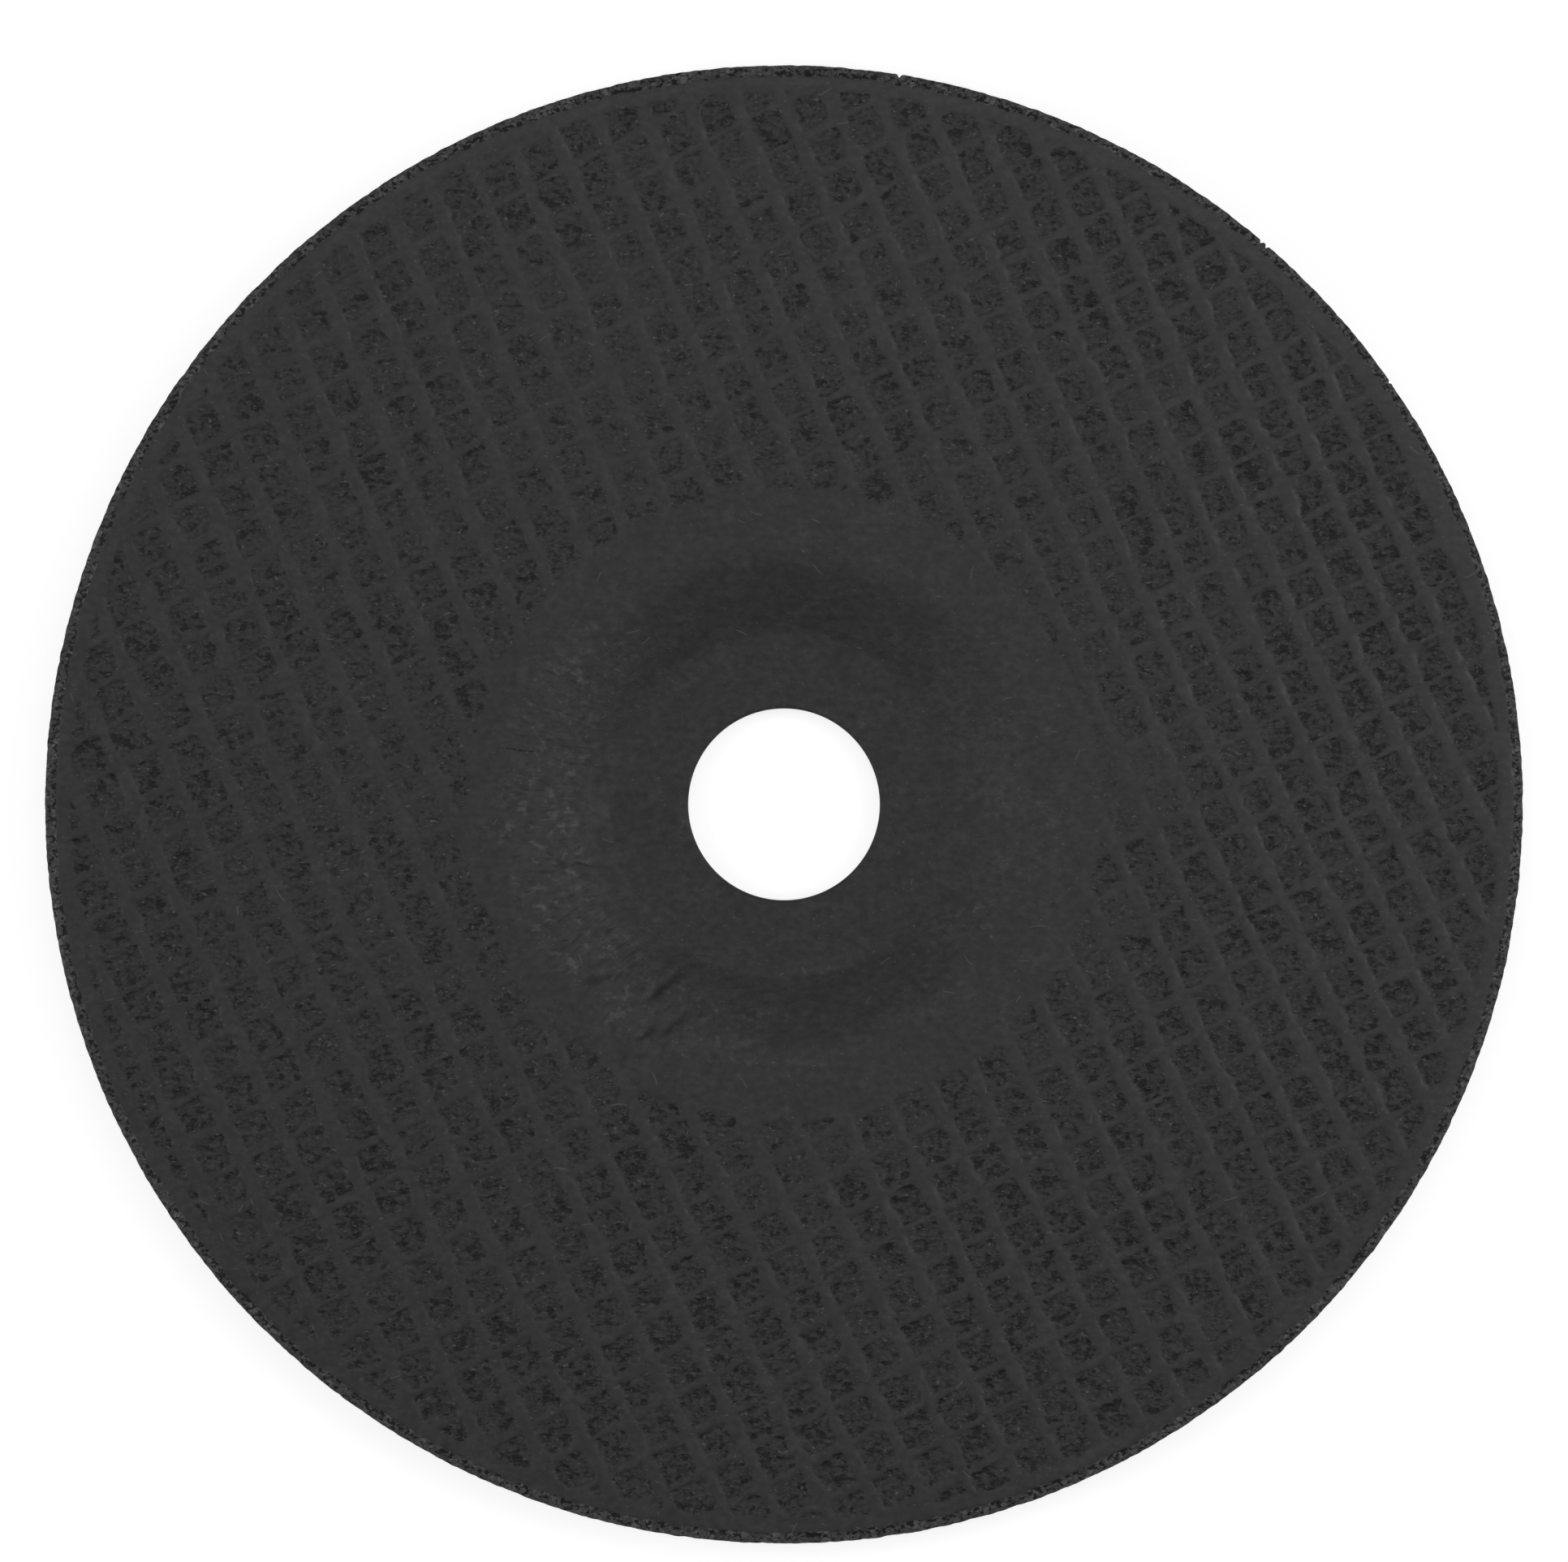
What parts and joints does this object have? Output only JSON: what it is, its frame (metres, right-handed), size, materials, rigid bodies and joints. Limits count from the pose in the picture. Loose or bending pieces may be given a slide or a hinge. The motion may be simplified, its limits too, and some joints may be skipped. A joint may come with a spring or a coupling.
{
  "type": "cut off wheel",
  "caption": "Thin dished abrasive disc with a sunk hub, an arbor hole and a woven mesh pattern pressed into its faces.",
  "frame": {"origin": "on the wheel's axis, in the plane of the hub's flat back, on which the wheel lies", "axes": "+Z along the axis, out of the dished front face; +X to the right and +Y to the top of the picture"},
  "size_m": [0.178, 0.178, 0.0078],
  "materials": {
    "black_abrasive": "matte"
  },
  "bodies": {
    "root": {"wheel": "black_abrasive"}
  },
  "joints": []
}
